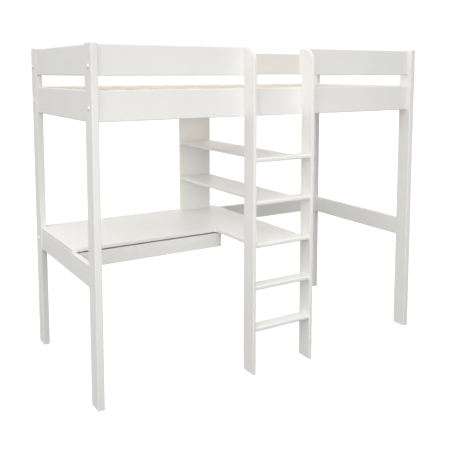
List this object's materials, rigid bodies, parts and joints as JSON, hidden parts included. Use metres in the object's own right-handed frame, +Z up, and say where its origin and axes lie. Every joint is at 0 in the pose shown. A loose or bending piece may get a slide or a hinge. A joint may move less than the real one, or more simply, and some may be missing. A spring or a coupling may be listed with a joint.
{
  "type": "loft bed with desk",
  "caption": "High single bed on four flat posts with guard rails all round, an upright ladder, an L-shaped desk with a shallow drawer, and open shelves between the desk and the ladder.",
  "frame": {"origin": "on the floor, in the middle of the object's outline seen from above, ladder included", "axes": "+Z up; +X to the right along the bed for someone facing the ladder; -Y towards that person, so the ladder is on the -Y side and the desk on the -X side"},
  "size_m": [2.095, 1.071, 1.753],
  "materials": {
    "white_wood": "satin white paint",
    "pine": "bare planed pine",
    "beech": "bare turned beech",
    "hardboard": "white-faced hardboard",
    "zinc_steel": "zinc-plated",
    "nylon": "moulded"
  },
  "bodies": {
    "frame": {"barrel_nuts": "zinc_steel", "bolt_caps": "nylon", "desk_rail_back": "white_wood", "desk_top": "white_wood", "dowels": "beech", "drawer_hanger_left": "white_wood", "drawer_hanger_right": "white_wood", "end_bed_rail_left": "white_wood", "end_bed_rail_right": "white_wood", "end_desk_rail_left": "white_wood", "end_desk_rail_right": "white_wood", "end_guard_rail_left": "white_wood", "end_guard_rail_right": "white_wood", "foot_glides": "nylon", "frame_bolts": "zinc_steel", "guard_rail_back": "white_wood", "guard_rail_front_left": "white_wood", "guard_rail_front_right": "white_wood", "ladder_rung_1": "white_wood", "ladder_rung_2": "white_wood", "ladder_rung_3": "white_wood", "ladder_rung_4": "white_wood", "ladder_rung_5": "white_wood", "ladder_stile_left": "white_wood", "ladder_stile_right": "white_wood", "post_back_left": "white_wood", "post_back_right": "white_wood", "post_front_left": "white_wood", "post_front_right": "white_wood", "runner_fixed_left": "zinc_steel", "runner_fixed_right": "zinc_steel", "runner_screws_fixed": "zinc_steel", "shelf_lower": "white_wood", "shelf_panel": "white_wood", "shelf_upper": "white_wood", "side_rail_back": "white_wood", "side_rail_front": "white_wood", "slat_01": "pine", "slat_02": "pine", "slat_03": "pine", "slat_04": "pine", "slat_05": "pine", "slat_06": "pine", "slat_07": "pine", "slat_08": "pine", "slat_09": "pine", "slat_10": "pine", "slat_11": "pine", "slat_12": "pine", "slat_ledger_back": "pine", "slat_ledger_front": "pine", "wood_screws": "zinc_steel"},
    "drawer": {"drawer_back": "white_wood", "drawer_bottom": "hardboard", "drawer_front": "white_wood", "drawer_side_left": "white_wood", "drawer_side_right": "white_wood", "runner_moving_left": "zinc_steel", "runner_moving_right": "zinc_steel", "runner_screws_moving": "zinc_steel"}
  },
  "joints": [
    {"name": "drawer_slide", "type": "slide", "parent": "frame", "child": "drawer", "axis": [0, -1, 0], "range_m": [0, 0.3]}
  ]
}
